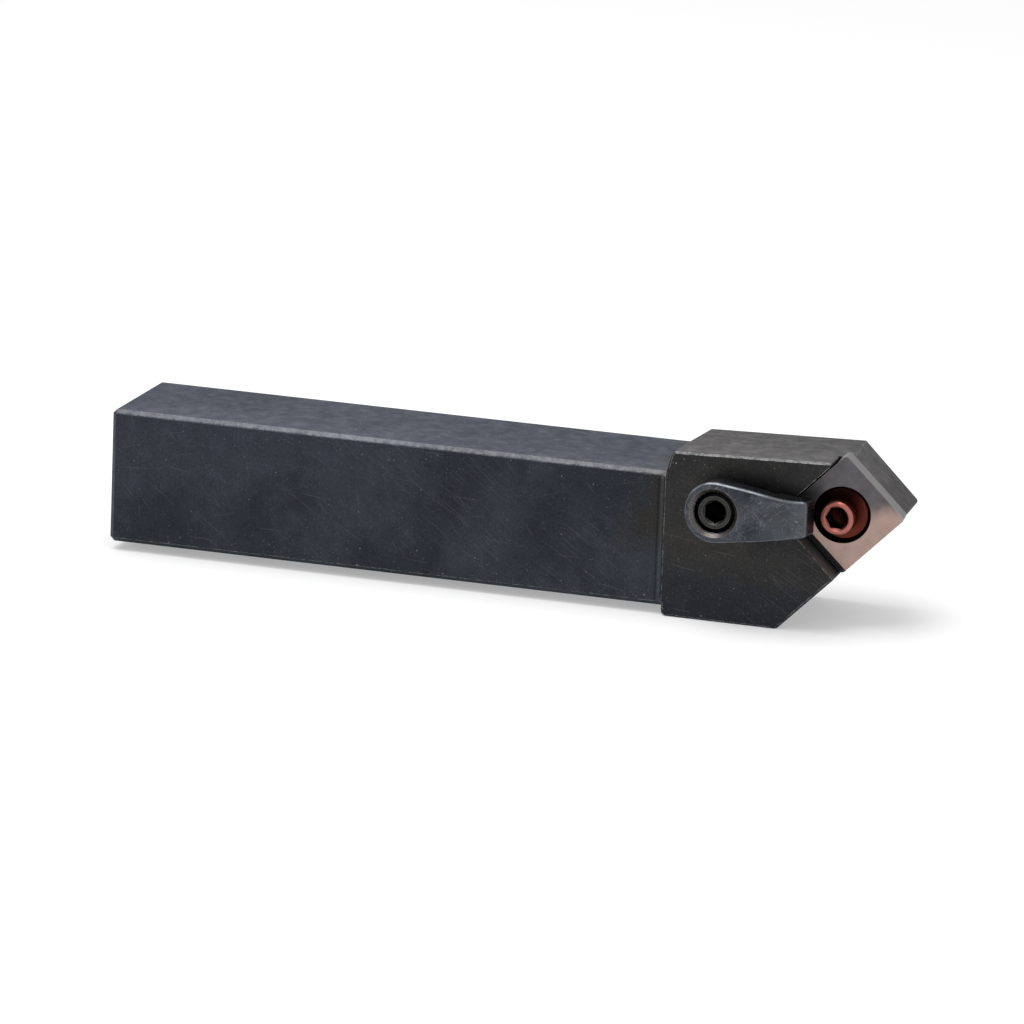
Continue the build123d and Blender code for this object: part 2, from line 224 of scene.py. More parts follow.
# the lower pocket wall faces up and outwards, as the upper flank does, but lies behind and below
# it; it is painted lighter, as painted light in the pocket
outward = add(tree, "Math", (facing["X"], facing["Z"]), operation="ADD")
lit_pocket_wall = add(tree, "MapRange", {"Value": outward, "From Min": 1.2, "From Max": 1.3})
inner = add(tree, "MapRange", {"Value": xyz["X"], "From Min": 182.0, "From Max": 180.0})
lower = add(tree, "MapRange", {"Value": xyz["Z"], "From Min": 10.0, "From Max": 9.0})
lit_pocket_wall = add(tree, "Math", (lit_pocket_wall, inner), operation="MULTIPLY")
lit_pocket_wall = add(tree, "Math", (lit_pocket_wall, lower), operation="MULTIPLY")
# painted light: the lower pocket wall is painted lighter
tint = add(tree, "Mix", {SHARE: lit_pocket_wall, FROM: tint, TO: linear("#707072")},
           **COLOURS).outputs[MIXED]
print("the head's tone begins at X =", TONE_BEGINS, "mm")

# %% [markdown]
# ## Grain, and the hollow before the head
# Blotches and mottling make the oxide lighter and darker in spots, by up to a quarter.
# Between shank and head a small hollow is milled. Where it begins, a dark line of painted shade is
# drawn, and where it climbs to the head, painted light. All of them multiply the tint.

# %% Holder grain and hollow
# the hollow's darkest line is painted shade
DARK_LINE, HOLLOW_ENDS = 133.9, 135.8  # X of the hollow's darkest line and of its end

coarse = add(tree, "MapRange", {"Value": blotches, "From Min": 0.3, "From Max": 0.7,
                                "To Min": 0.87, "To Max": 1.14})
fine = add(tree, "MapRange", {"Value": mottle, "From Min": 0.3, "From Max": 0.75,
                              "To Min": 0.78, "To Max": 1.24})
grain = add(tree, "Math", (coarse, fine), operation="MULTIPLY")
# only on the side with the pocket, where the head rises from Y = -15.875 mm on the shank
proud = add(tree, "MapRange", {"Value": xyz["Y"], "From Min": -15.80, "From Max": -15.86})
# a dark line of painted shade where the hollow begins, and painted light where it climbs to the
# head
painted_shade_line = add(tree, "Math", (xyz["X"], DARK_LINE), operation="SUBTRACT")
painted_shade_line = add(tree, "Math", (painted_shade_line,), operation="ABSOLUTE")
painted_shade_line = add(tree, "MapRange", {"Value": painted_shade_line, "From Min": 0.1, "From Max": 0.4,
                                "To Min": -0.35, "To Max": 0.0})
painted_light_climb = add(tree, "MapRange", {"Value": xyz["X"], "From Min": 134.2, "From Max": 135.7,
                                "To Max": 1.6})
before_head = add(tree, "Math", (xyz["X"], HOLLOW_ENDS), operation="LESS_THAN")
painted_light_climb = add(tree, "Math", (painted_light_climb, before_head), operation="MULTIPLY")
hollow_shade_and_light = add(tree, "Math", (painted_shade_line, painted_light_climb), operation="ADD")
hollow_shade_and_light = add(tree, "Math", (hollow_shade_and_light, proud, 1.0), operation="MULTIPLY_ADD")
grain = add(tree, "Math", (grain, hollow_shade_and_light), operation="MULTIPLY").outputs[0]
tint = add(tree, "VectorMath", {0: tint, "Scale": grain}, operation="SCALE")
print("holder tint", len(tree.nodes), "nodes so far")

# %% [markdown]
# ## Hairlines on the holder
# Sliding in and out of a tool slot leaves faint bundles of parallel hairlines on the
# clamped part of the shank, and single ones lie anywhere. They are drawn on a slightly
# bent plan, so that none is ruler-straight. The lines are some 0.13 mm wide, which is
# coarser than real ones, so that they show.

# %% Holder hairlines
BEND = 5.0  # how far the plan is bent, in millimetres

bend = add(tree, "TexNoise", {"Vector": plan, "Scale": 0.035, "Detail": 1.0})
bent = add(tree, "VectorMath", (bend.outputs["Color"], (BEND, BEND, 0), plan),
           operation="MULTIPLY_ADD")
bundles = add(tree, "TexNoise", {"Vector": place, "Scale": 0.035, "Detail": 2.0})
bundles = add(tree, "MapRange", {"Value": bundles, "From Min": 0.49, "From Max": 0.60,
                                 "To Max": 0.05}, **SMOOTH)
clamped = add(tree, "MapRange", {"Value": xyz["X"], "From Min": 35.0, "From Max": 60.0})
bundles = add(tree, "Math", (bundles, clamped), operation="MULTIPLY")
stronger = hairlines(tree, bent, 34, 12, 1.3, 0.15, 0.40)
fainter = hairlines(tree, bent, 37, 8, 0.8, 0.13, 0.35)
marks = add(tree, "Math", (stronger, fainter), operation="MAXIMUM")
marks = add(tree, "Math", (marks, bundles), operation="MULTIPLY")
# single marks: angle, length, spacing, width, share of the cells, and how bright
for angle, length, spacing, width, share, bright in (
        (33, 14, 12.0, 0.13, 0.35, 0.06),
        (-14, 10, 13.0, 0.13, 0.25, 0.05),
        (80, 8, 15.0, 0.13, 0.25, 0.06),
        (5, 9, 9.0, 0.14, 0.30, 0.08),
        (52, 5, 9.0, 0.14, 0.25, 0.07)):
    single = hairlines(tree, bent, angle, length, spacing, width, share)
    single = add(tree, "Math", (single, bright), operation="MULTIPLY")
    marks = add(tree, "Math", (marks, single), operation="MAXIMUM")
print("holder hairlines", len(tree.nodes), "nodes so far")

# %% [markdown]
# ## Nicks on the holder
# Chips and other tools knock small bright dents into the oxide. There is a fine dusting of
# them and a few larger ones, and they are brighter towards the edges, where a tool is
# knocked hardest. A crumbled plan makes them out of round.

# %% Holder nicks
crumble = add(tree, "TexNoise", {"Vector": plan, "Scale": 2.2, "Detail": 2.0})
crumbled = add(tree, "VectorMath", (crumble.outputs["Color"], (0.5, 0.5, 0), plan),
               operation="MULTIPLY_ADD")
margin = add(tree, "Math", (xyz["Z"],), operation="ABSOLUTE")
margin = add(tree, "MapRange", {"Value": margin, "From Min": 9.0, "From Max": 15.5,
                                "To Min": 0.75, "To Max": 1.5})
# spacing, radius, share of the cells, and how bright
for spacing, radius, share, bright in (
        (1.0, 0.14, 0.34, 0.13),
        (2.6, 0.15, 0.36, 0.26),
        (7.0, 0.20, 0.40, 0.42)):
    dents = nicks(tree, crumbled, spacing, radius, share)
    dents = add(tree, "Math", (dents, bright), operation="MULTIPLY")
    dents = add(tree, "Math", (dents, margin), operation="MULTIPLY")
    marks = add(tree, "Math", (marks, dents), operation="MAXIMUM")
print("holder nicks", len(tree.nodes), "nodes so far")

# %% [markdown]
# ## Scuffs on the upper side
# The sides that lie uppermost are scuffed by whatever is put down on them: patches of
# short dashes and dots in a grey haze, and the most on the head. The way that a side faces
# tells which ones lie uppermost.

# %% Holder scuffs
upper = add(tree, "MapRange", {"Value": facing["Z"], "From Min": 0.5, "From Max": 0.9})
patches = add(tree, "TexNoise", {"Vector": place, "Scale": 0.11, "Detail": 3.0,
                                 "Roughness": 0.6})
patches = add(tree, "MapRange", {"Value": patches, "From Min": 0.42, "From Max": 0.60}, **SMOOTH)
level = hairlines(tree, bent, 6, 4.0, 1.3, 0.18, 0.5)
slanting = hairlines(tree, bent, -18, 2.6, 1.9, 0.16, 0.4)
dashes = add(tree, "Math", (level, slanting), operation="MAXIMUM")
dots = nicks(tree, crumbled, 1.1, 0.20, 0.4)
dashes = add(tree, "Math", (dashes, dots), operation="MAXIMUM")
scuffs = add(tree, "Math", (dashes, patches), operation="MULTIPLY")
haze = add(tree, "MapRange", {"Value": blotches, "From Min": 0.48, "From Max": 0.72,
                              "To Max": 0.35})
scuffs = add(tree, "Math", (scuffs, haze), operation="ADD")
scuffs = add(tree, "Math", (scuffs, upper), operation="MULTIPLY")
worst = add(tree, "MapRange", {"Value": on_head, "To Min": 0.16, "To Max": 0.36})
scuffs = add(tree, "Math", (scuffs, worst), operation="MULTIPLY")
marks = add(tree, "Math", (marks, scuffs), operation="MAXIMUM")
print("holder scuffs", len(tree.nodes), "nodes so far")

# %% [markdown]
# ## Edges rubbed down to the steel, and a painted highlight
# Handling rubs the oxide off the edges. The Bevel node draws a narrow, broken line along each of
# them. The bevelled upper edges also get a band, which is partly rubbed steel and partly a painted
# highlight: the bevel is found by the way that it faces, and only its upper half gets the band.

# %% Holder rubbed edges
ragged = add(tree, "TexNoise", {"Vector": place, "Scale": 0.8, "Detail": 5.0,
                                "Roughness": 0.75})
ragged = add(tree, "MapRange", {"Value": ragged, "From Min": 0.40, "From Max": 0.60}, **SMOOTH)
narrow = worn_edges(tree, 0.35)
narrow = add(tree, "Math", (narrow, ragged), operation="MULTIPLY")
# the line is weak where the band is, above Z = 14.5 mm, and stronger on the head; inputs 2
# and 3 are the Mix node's two numbers
banded = add(tree, "MapRange", {"Value": xyz["Z"], "From Min": 14.5, "From Max": 14.8,
                                "To Min": 0.60, "To Max": 0.05})
banded = add(tree, "Mix", {SHARE: on_head, 2: banded, 3: 0.85}, data_type="FLOAT")
narrow = add(tree, "Math", (narrow, banded), operation="MULTIPLY")
# and it is all but gone at the rear end
rear = add(tree, "MapRange", {"Value": xyz["X"], "From Min": 0.5, "From Max": 3.0,
                              "To Min": 0.05})
narrow = add(tree, "Math", (narrow, rear), operation="MULTIPLY")
# a bevel that faces up and to the viewer alike has -0.5 here, and a flat side has 0
highlight_band = add(tree, "Math", (facing["Y"], facing["Z"]), operation="MULTIPLY")
highlight_band = add(tree, "MapRange", {"Value": highlight_band, "From Min": -0.25, "From Max": -0.48}, **SMOOTH)
# the band on the upper half of the upper bevels is partly rubbed steel and partly a painted
# highlight
upper_half = add(tree, "Math", (ragged, 0.15, xyz["Z"]), operation="MULTIPLY_ADD")
upper_half = add(tree, "MapRange", {"Value": upper_half, "From Min": 15.08, "From Max": 15.25})
highlight_band = add(tree, "Math", (highlight_band, upper_half), operation="MULTIPLY")
rounded = add(tree, "MapRange", {"Value": ragged, "To Min": 0.11, "To Max": 0.19})
rounded = add(tree, "Math", (highlight_band, rounded), operation="MULTIPLY")
rubbed_and_highlight = add(tree, "Math", (narrow, rounded), operation="MAXIMUM")
bare = add(tree, "Math", (marks, rubbed_and_highlight), operation="MAXIMUM", use_clamp=True)
colour = add(tree, "Mix", {SHARE: bare, FROM: tint.outputs[0], TO: linear("#a5a5a6")},
             **COLOURS).outputs[MIXED]
print("holder edges", len(tree.nodes), "nodes so far")

# %% [markdown]
# ## How the oxide shines
# At a low angle the oxide reflects a little less than bare steel: bluish on the shank and
# neutral on the head, unevenly on both, most by the near edges and least by the nose. The
# specular tint gives that, so the metal keeps its own index of refraction. Only the
# mottling and the largest nicks give relief. The finer marks are too shallow to show, and
# the Bump node works everything that feeds it out three times.

# %% Holder shine and relief
glance = add(tree, "Mix", {SHARE: on_head, FROM: linear("#e4e7f2"), TO: linear("#e6e4e4")},
             **COLOURS).outputs[MIXED]
uneven = add(tree, "MapRange", {"Value": blotches, "From Min": 0.3, "From Max": 0.7,
                                "To Min": 0.86, "To Max": 1.08})
fall = add(tree, "MapRange", {"Value": xyz["X"], "From Min": 176.0, "From Max": 190.0,
                              "To Min": 1.0, "To Max": 0.76})
near = add(tree, "MapRange", {"Value": xyz["Y"], "From Min": 2.0, "From Max": -15.0,
                              "To Min": 1.0, "To Max": 1.16})
fall = add(tree, "Math", (near, fall), operation="MULTIPLY")
fall = add(tree, "Math", (uneven, fall), operation="MULTIPLY").outputs[0]
glance = add(tree, "VectorMath", {0: glance, "Scale": fall}, operation="SCALE")
shine = add(tree, "TexNoise", {"Vector": place, "Scale": 0.35, "Detail": 4.0,
                               "Roughness": 0.6})
shine = add(tree, "MapRange", {"Value": shine, "To Min": 0.34, "To Max": 0.52})
relief = add(tree, "Math", (dents, -3.0, mottle), operation="MULTIPLY_ADD")
bump = add(tree, "Bump", {"Strength": 0.22, "Distance": 0.012 * MM, "Height": relief})
steel = add(tree, "BsdfPrincipled", {"Base Color": colour, "Metallic": 1.0, "Roughness": shine,
                                     "Normal": bump, "Specular Tint": glance.outputs[0]})
add(tree, "OutputMaterial", (steel,))
print("made", holder_finish.name, len(tree.nodes), "nodes")

# %% [markdown]
# ## Ground shim
# The shim is a hard plate that is ground flat and left bare. Its outer part has a warm straw tone,
# while the part by the upper wall is a darker grey. A slanting ramp divides the two, and noise
# makes the border wander.

# %% Shim tones
shim_finish, tree, place, plan, xyz, facing = start_material("ground_bare_shim_metal")
wobble = add(tree, "TexNoise", {"Vector": place, "Scale": 0.18, "Detail": 3.0})
wobble = add(tree, "Math", (wobble, 4.0, xyz["Z"]), operation="MULTIPLY_ADD")
height = add(tree, "Math", (xyz["X"], -0.25, wobble), operation="MULTIPLY_ADD")
grey_part = add(tree, "MapRange", {"Value": height, "From Min": -35.5, "From Max": -31.5},
                **SMOOTH)
haze = add(tree, "TexNoise", {"Vector": place, "Scale": 0.4, "Detail": 4.0})
warm = add(tree, "Mix", {SHARE: haze, FROM: linear("#978178"), TO: linear("#ab948a")},
           **COLOURS).outputs[MIXED]
cool = add(tree, "Mix", {SHARE: haze, FROM: linear("#4a4849"), TO: linear("#69666a")},
           **COLOURS).outputs[MIXED]
tint = add(tree, "Mix", {SHARE: grey_part, FROM: warm, TO: cool}, **COLOURS).outputs[MIXED]
# the ground strip along the side that looks up is a plain grey, and the bevel is painted darker as
# painted shade
strip = add(tree, "MapRange", {"Value": facing["Y"], "From Min": -0.6, "From Max": -0.3},
            **SMOOTH)
tint = add(tree, "Mix", {SHARE: strip, FROM: tint, TO: linear("#676767")},
           **COLOURS).outputs[MIXED]
outward = add(tree, "Math", (facing["X"], facing["Z"]), operation="ADD")
bevel_shade = add(tree, "MapRange", {"Value": outward, "From Min": -0.2, "From Max": -0.45}, **SMOOTH)
tint = add(tree, "Mix", {SHARE: bevel_shade, FROM: tint, TO: linear("#48484a")},
           **COLOURS).outputs[MIXED]
print("shim tones", len(tree.nodes), "nodes so far")

# %% [markdown]
# ## Painted shade, stains and grinding on the shim
# The bore's wall is painted near black as painted shade, which the distance from its slanting axis
# finds. Grinding leaves fine parallel lines, one every few hundredths of a millimetre. They are
# drawn at 0.25 mm so that they show, as a faint direction in the shine.

# %% Shim bore shade and surface
BORE_MIDDLE, SEAT_FACES = (176.2, -9.51, 9.25), (0.1228, -0.9924, 0)
BORE_RADIUS = 6.6

spoke = add(tree, "VectorMath", (place, BORE_MIDDLE), operation="SUBTRACT")
spoke = add(tree, "VectorMath", (spoke, SEAT_FACES), operation="CROSS_PRODUCT")
spoke = add(tree, "VectorMath", (spoke,), operation="LENGTH").outputs["Value"]
bore_shade = add(tree, "MapRange", {"Value": spoke, "From Min": BORE_RADIUS + 0.12,
                              "From Max": BORE_RADIUS + 0.04})
# the bore's wall is painted near black: painted shade
tint = add(tree, "Mix", {SHARE: bore_shade, FROM: tint, TO: linear("#0c0a09")},
           **COLOURS).outputs[MIXED]
stains = add(tree, "TexNoise", {"Vector": plan, "Scale": 0.9, "Detail": 4.0,
                                "Roughness": 0.65})
stains = add(tree, "MapRange", {"Value": stains, "From Min": 0.56, "From Max": 0.74,
                                "To Max": 0.35}, **SMOOTH)
tint = add(tree, "Mix", {SHARE: stains, FROM: tint, TO: linear("#5d5048")},
           **COLOURS).outputs[MIXED]
clean = add(tree, "MapRange", {"Value": bore_shade, "To Min": 0.4, "To Max": 0.0})
rub = add(tree, "Math", (worn_edges(tree, 0.2), clean), operation="MULTIPLY")
colour = add(tree, "Mix", {SHARE: rub, FROM: tint, TO: linear("#c0b3aa")},
             **COLOURS).outputs[MIXED]
turned = add(tree, "Mapping", {"Vector": plan, "Rotation": (0, 0, math.radians(45))})
stretched = add(tree, "VectorMath", (turned, (0.3, 4.0, 4.0)), operation="MULTIPLY")
grinding = add(tree, "TexNoise", {"Vector": stretched, "Scale": 1.0, "Detail": 2.0})
shine = add(tree, "MapRange", {"Value": grinding, "To Min": 0.32, "To Max": 0.48})
bump = add(tree, "Bump", {"Strength": 0.12, "Distance": 0.02 * MM, "Height": grinding})
steel = add(tree, "BsdfPrincipled", {"Base Color": colour, "Metallic": 1.0, "Roughness": shine,
                                     "Normal": bump})
add(tree, "OutputMaterial", (steel,))
print("made", shim_finish.name, len(tree.nodes), "nodes")

# %% [markdown]
# ## Copper-coloured lock pin
# The pin is turned from steel and carries a thin copper-coloured finish, which tells it from the
# other screws in a tool box. Its head stays clean and bright. Below the head the finish is painted
# darker with depth, as painted shade in its socket and on its collar.

# %% Pin tones
PIN_AXIS = (175.856, 0, 8.894)  # X and Z of the middle of the pin's head

pin_finish, tree, place, plan, xyz, facing = start_material("copper_finished_turned_steel")
dust = add(tree, "TexNoise", {"Vector": place, "Scale": 0.55, "Detail": 4.0, "Roughness": 0.6})
dust = add(tree, "MapRange", {"Value": dust, "From Min": 0.40, "From Max": 0.70,
                              "To Max": 0.5}, **SMOOTH)
tint = add(tree, "Mix", {SHARE: dust, FROM: linear("#a2635a"), TO: linear("#854c43")},
           **COLOURS).outputs[MIXED]
# the head's end is at Y = -14.0 mm and the collar at -9.6 mm; the finish is painted darker with
# the depth as painted shade, and the socket, which lies within 2.8 mm of the head's middle, is
# painted dark as painted shade from just below its rim
depth_shade = add(tree, "MapRange", {"Value": xyz["Y"], "From Min": -13.7, "From Max": -11.0},
            **SMOOTH)
middle = add(tree, "VectorMath", (place, (1, 0, 1)), operation="MULTIPLY")
middle = add(tree, "VectorMath", (middle, PIN_AXIS), operation="DISTANCE").outputs["Value"]
inside = add(tree, "MapRange", {"Value": middle, "From Min": 3.0, "From Max": 2.78})
below = add(tree, "MapRange", {"Value": xyz["Y"], "From Min": -13.9, "From Max": -13.2})
socket_shade = add(tree, "Math", (inside, below), operation="MULTIPLY")
# painted shade: darker with the depth below the head
tint = add(tree, "Mix", {SHARE: depth_shade, FROM: tint, TO: linear("#5a2a22")},
           **COLOURS).outputs[MIXED]
# a painted shadow darkens the upper left of the collar, where the bore's upper wall shades it
collar_shadow = add(tree, "VectorMath", (place, (-0.55, 0, 0.83)), operation="DOT_PRODUCT")
collar_shadow = add(tree, "MapRange", {"Value": collar_shadow.outputs["Value"], "From Min": -91.5,
                              "From Max": -86.0}, **SMOOTH)
collar = add(tree, "MapRange", {"Value": xyz["Y"], "From Min": -10.6, "From Max": -9.8})
collar_shadow = add(tree, "Math", (collar_shadow, collar), operation="MULTIPLY")
tint = add(tree, "Mix", {SHARE: collar_shadow, FROM: tint, TO: linear("#1c0d0a")},
           **COLOURS).outputs[MIXED]
# painted shade in the socket
tint = add(tree, "Mix", {SHARE: socket_shade, FROM: tint, TO: linear("#2b1411")},
           **COLOURS).outputs[MIXED]
print("pin tones", len(tree.nodes), "nodes so far")

# %% [markdown]
# ## Rubbed edges and rings on the pin
# The pin's edges are rubbed to a lighter copper, and where the painted shade lies, in the socket
# and down the pin, their colour is painted dark too. Turning leaves rings 0.05 mm apart. They are
# drawn at 0.35 mm so that they show, by a sine wave along the pin.

# %% Pin surface
RING_SPACING = 0.35

rub = add(tree, "Math", (worn_edges(tree, 0.25), 0.55), operation="MULTIPLY")
# the rubbed edges are painted dark too where the painted shade lies
in_painted_shade = add(tree, "Math", (depth_shade, socket_shade), operation="MAXIMUM")
light_copper = add(tree, "Mix", {SHARE: in_painted_shade, FROM: linear("#d09a8e"),
                                 TO: linear("#5a2d26")}, **COLOURS).outputs[MIXED]
colour = add(tree, "Mix", {SHARE: rub, FROM: tint, TO: light_copper}, **COLOURS).outputs[MIXED]
shine = add(tree, "TexNoise", {"Vector": place, "Scale": 1.2, "Detail": 3.0})
shine = add(tree, "MapRange", {"Value": shine, "To Min": 0.30, "To Max": 0.46})
rings = add(tree, "Math", (xyz["Y"], 2 * math.pi / RING_SPACING), operation="MULTIPLY")
rings = add(tree, "Math", (rings,), operation="SINE")
bump = add(tree, "Bump", {"Strength": 0.10, "Distance": 0.02 * MM, "Height": rings})
copper = add(tree, "BsdfPrincipled", {"Base Color": colour, "Metallic": 1.0, "Roughness": shine,
                                      "Normal": bump})
add(tree, "OutputMaterial", (copper,))
print("made", pin_finish.name, len(tree.nodes), "nodes")

# %% [markdown]
# ## Tumbled clamp
# The clamp is forged, tumbled smooth with small stones and then blackened. Tumbling rounds its rim
# and leaves short, curling scratches in all directions, so the face is glossier than the holder
# and catches the light along its rim. Its nose is a little lighter towards its tip.

# %% Clamp tint and scratches
clamp_finish, tree, place, plan, xyz, facing = start_material("tumbled_blackened_steel")
clouds = add(tree, "TexNoise", {"Vector": place, "Scale": 0.16, "Detail": 4.0,
                                "Roughness": 0.6})
clouds = add(tree, "MapRange", {"Value": clouds, "From Min": 0.3, "From Max": 0.7})
tint = add(tree, "Mix", {SHARE: clouds, FROM: linear("#2b2e33"), TO: linear("#4b4e54")},
           **COLOURS).outputs[MIXED]
# curling scratches: the thin shells where a twisted noise passes its middle value
curls = add(tree, "TexNoise", {"Vector": place, "Scale": 0.40, "Detail": 4.0,
                               "Distortion": 1.4})
curls = add(tree, "Math", (curls, 0.5), operation="SUBTRACT")
curls = add(tree, "Math", (curls,), operation="ABSOLUTE")
curls = add(tree, "MapRange", {"Value": curls, "From Min": 0.014, "From Max": 0.002}, **SMOOTH)
patches = add(tree, "TexNoise", {"Vector": place, "Scale": 0.22, "Detail": 2.0})
patches = add(tree, "MapRange", {"Value": patches, "From Min": 0.42, "From Max": 0.56}, **SMOOTH)
marks = add(tree, "Math", (curls, patches), operation="MULTIPLY")
nose = add(tree, "MapRange", {"Value": xyz["X"], "From Min": 161.0, "From Max": 170.0,
                              "To Max": 0.30})
tint = add(tree, "Mix", {SHARE: nose, FROM: tint, TO: linear("#6b6e73")},
           **COLOURS).outputs[MIXED]
# short straight scratches, drawn 0.12 mm wide so that they show: angle, length, spacing
# and share of the cells
for angle, length, spacing, share in (
        (38, 3.0, 1.0, 0.3),
        (-30, 2.4, 1.1, 0.25),
        (80, 2.0, 1.3, 0.25),
        (5, 3.4, 1.4, 0.25)):
    short = hairlines(tree, plan, angle, length, spacing, 0.12, share)
    short = add(tree, "Math", (short, 0.45), operation="MULTIPLY")
    marks = add(tree, "Math", (marks, short), operation="MAXIMUM")
marks = add(tree, "Math", (marks, 0.30), operation="MULTIPLY")
dents = add(tree, "Math", (nicks(tree, plan, 1.2, 0.13, 0.35), 0.25), operation="MULTIPLY")
marks = add(tree, "Math", (marks, dents), operation="MAXIMUM")
print("clamp scratches", len(tree.nodes), "nodes so far")

# %% [markdown]
# ## The clamp's rim, cone and end
# The rounded rim is rubbed bright in places, and the way that it faces finds it. Around the screw
# lies a dull brown cone, and the hole's wall inside it is painted black as painted shade; both are
# found by their distance from the screw's axis. The end face is painted dark as painted shade.

# %% Clamp rim, hole and end
SCREW_AXIS = (150.02, 0, 9.878)  # X and Z of the middle of the clamp screw
HOLE_RADIUS, CONE_RADIUS = 5.0, 5.8
BLUR = 0.05  # half the width of a border between two of these tones

ragged = add(tree, "TexNoise", {"Vector": place, "Scale": 0.5, "Detail": 3.0})
ragged = add(tree, "MapRange", {"Value": ragged, "From Min": 0.35, "From Max": 0.60,
                                "To Min": 0.5}, **SMOOTH)
# the rim turns from the face, where Y is -1, to the sides, where it is 0
rim = add(tree, "Math", (facing["Y"], -1.0), operation="MULTIPLY")
rising = add(tree, "MapRange", {"Value": rim, "From Min": 0.30, "From Max": 0.50}, **SMOOTH)
falling = add(tree, "MapRange", {"Value": rim, "From Min": 0.90, "From Max": 0.78}, **SMOOTH)
rim = add(tree, "Math", (rising, falling), operation="MULTIPLY")
soft_end = add(tree, "MapRange", {"Value": facing["X"], "From Min": 0.15, "From Max": 0.45,
                                  "To Min": 1.0, "To Max": 0.3})
rim = add(tree, "Math", (rim, soft_end), operation="MULTIPLY")
middle = add(tree, "VectorMath", (place, (1, 0, 1)), operation="MULTIPLY")
middle = add(tree, "VectorMath", (middle, SCREW_AXIS), operation="DISTANCE").outputs["Value"]
hole_shade = add(tree, "MapRange", {"Value": middle, "From Min": HOLE_RADIUS + BLUR,
                              "From Max": HOLE_RADIUS - BLUR})
cone = add(tree, "MapRange", {"Value": middle, "From Min": CONE_RADIUS + BLUR,
                              "From Max": CONE_RADIUS - BLUR})
tint = add(tree, "Mix", {SHARE: cone, FROM: tint, TO: linear("#57524e")},
           **COLOURS).outputs[MIXED]
# the hole's wall is painted black: painted shade in the gap around the screw
tint = add(tree, "Mix", {SHARE: hole_shade, FROM: tint, TO: linear("#222326")},
           **COLOURS).outputs[MIXED]
# the end face is painted dark: painted shade
end_face_shade = add(tree, "MapRange", {"Value": facing["X"], "From Min": 0.7, "From Max": 0.9})
tint = add(tree, "Mix", {SHARE: end_face_shade, FROM: tint, TO: linear("#313236")},
           **COLOURS).outputs[MIXED]
print("clamp tones", len(tree.nodes), "nodes so far")

# %% [markdown]
# ## The clamp's gloss
# Scratches, the rim and the sharp edges all show the steel, so they share one light tone.
# The surface swells softly from forging, which lets the highlights wander on it.

# %% Clamp surface
rubbable = add(tree, "MapRange", {"Value": cone, "To Min": 0.36, "To Max": 0.0})
rub = add(tree, "Math", (rim, rubbable), operation="MULTIPLY")
narrow = add(tree, "Math", (worn_edges(tree, 0.15), 0.40), operation="MULTIPLY")
rub = add(tree, "Math", (rub, narrow), operation="MAXIMUM")
rub = add(tree, "Math", (rub, ragged), operation="MULTIPLY")
bare = add(tree, "Math", (marks, rub), operation="MAXIMUM", use_clamp=True)
colour = add(tree, "Mix", {SHARE: bare, FROM: tint, TO: linear("#a2a5ac")},
             **COLOURS).outputs[MIXED]
shine = add(tree, "TexNoise", {"Vector": place, "Scale": 0.8, "Detail": 4.0, "Roughness": 0.6})
shine = add(tree, "MapRange", {"Value": shine, "To Min": 0.22, "To Max": 0.38})
swell = add(tree, "TexNoise", {"Vector": place, "Scale": 0.6, "Detail": 3.0})
relief = add(tree, "Math", (bare, -0.6, swell), operation="MULTIPLY_ADD")
bump = add(tree, "Bump", {"Strength": 0.25, "Distance": 0.03 * MM, "Height": relief})
steel = add(tree, "BsdfPrincipled", {"Base Color": colour, "Metallic": 1.0, "Roughness": shine,
                                     "Normal": bump})
add(tree, "OutputMaterial", (steel,))
print("made", clamp_finish.name, len(tree.nodes), "nodes")

# %% [markdown]
# ## Oiled screw
# The clamp screw is blackened like the holder, but it is kept oiled, so it is darker and a little
# smoother. Its socket is painted black as painted shade, which is drawn by the distance from the
# screw's axis and by the depth below its end.

# %% Screw material
screw_finish, tree, place, plan, xyz, facing = start_material("oiled_black_screw_steel")
smear = add(tree, "TexNoise", {"Vector": place, "Scale": 0.7, "Detail": 4.0, "Roughness": 0.6})
tint = add(tree, "Mix", {SHARE: smear, FROM: linear("#282827"), TO: linear("#404040")},
           **COLOURS).outputs[MIXED]
rub = add(tree, "Math", (worn_edges(tree, 0.25), 0.55), operation="MULTIPLY")
dents = add(tree, "Math", (nicks(tree, plan, 1.0, 0.10, 0.3), 0.5), operation="MULTIPLY")
bare = add(tree, "Math", (rub, dents), operation="MAXIMUM")
colour = add(tree, "Mix", {SHARE: bare, FROM: tint, TO: linear("#83837f")},
             **COLOURS).outputs[MIXED]
# the screw's end is at Y = -24.7 mm, and its socket is painted black as painted shade 0.2 to 1.1
# mm below it
middle = add(tree, "VectorMath", (place, (1, 0, 1)), operation="MULTIPLY")
middle = add(tree, "VectorMath", (middle, SCREW_AXIS), operation="DISTANCE").outputs["Value"]
inside = add(tree, "MapRange", {"Value": middle, "From Min": 3.2, "From Max": 2.9})
below = add(tree, "MapRange", {"Value": xyz["Y"], "From Min": -24.5, "From Max": -23.6})
screw_socket_shade = add(tree, "Math", (inside, below), operation="MULTIPLY")
colour = add(tree, "Mix", {SHARE: screw_socket_shade, FROM: colour, TO: linear("#060606")},
             **COLOURS).outputs[MIXED]
shine = add(tree, "TexNoise", {"Vector": place, "Scale": 1.5, "Detail": 3.0})
bump = add(tree, "Bump", {"Strength": 0.15, "Distance": 0.02 * MM, "Height": shine})
shine = add(tree, "MapRange", {"Value": shine, "To Min": 0.30, "To Max": 0.45})
steel = add(tree, "BsdfPrincipled", {"Base Color": colour, "Metallic": 1.0, "Roughness": shine,
                                     "Normal": bump})
add(tree, "OutputMaterial", (steel,))
print("made", screw_finish.name, len(tree.nodes), "nodes")

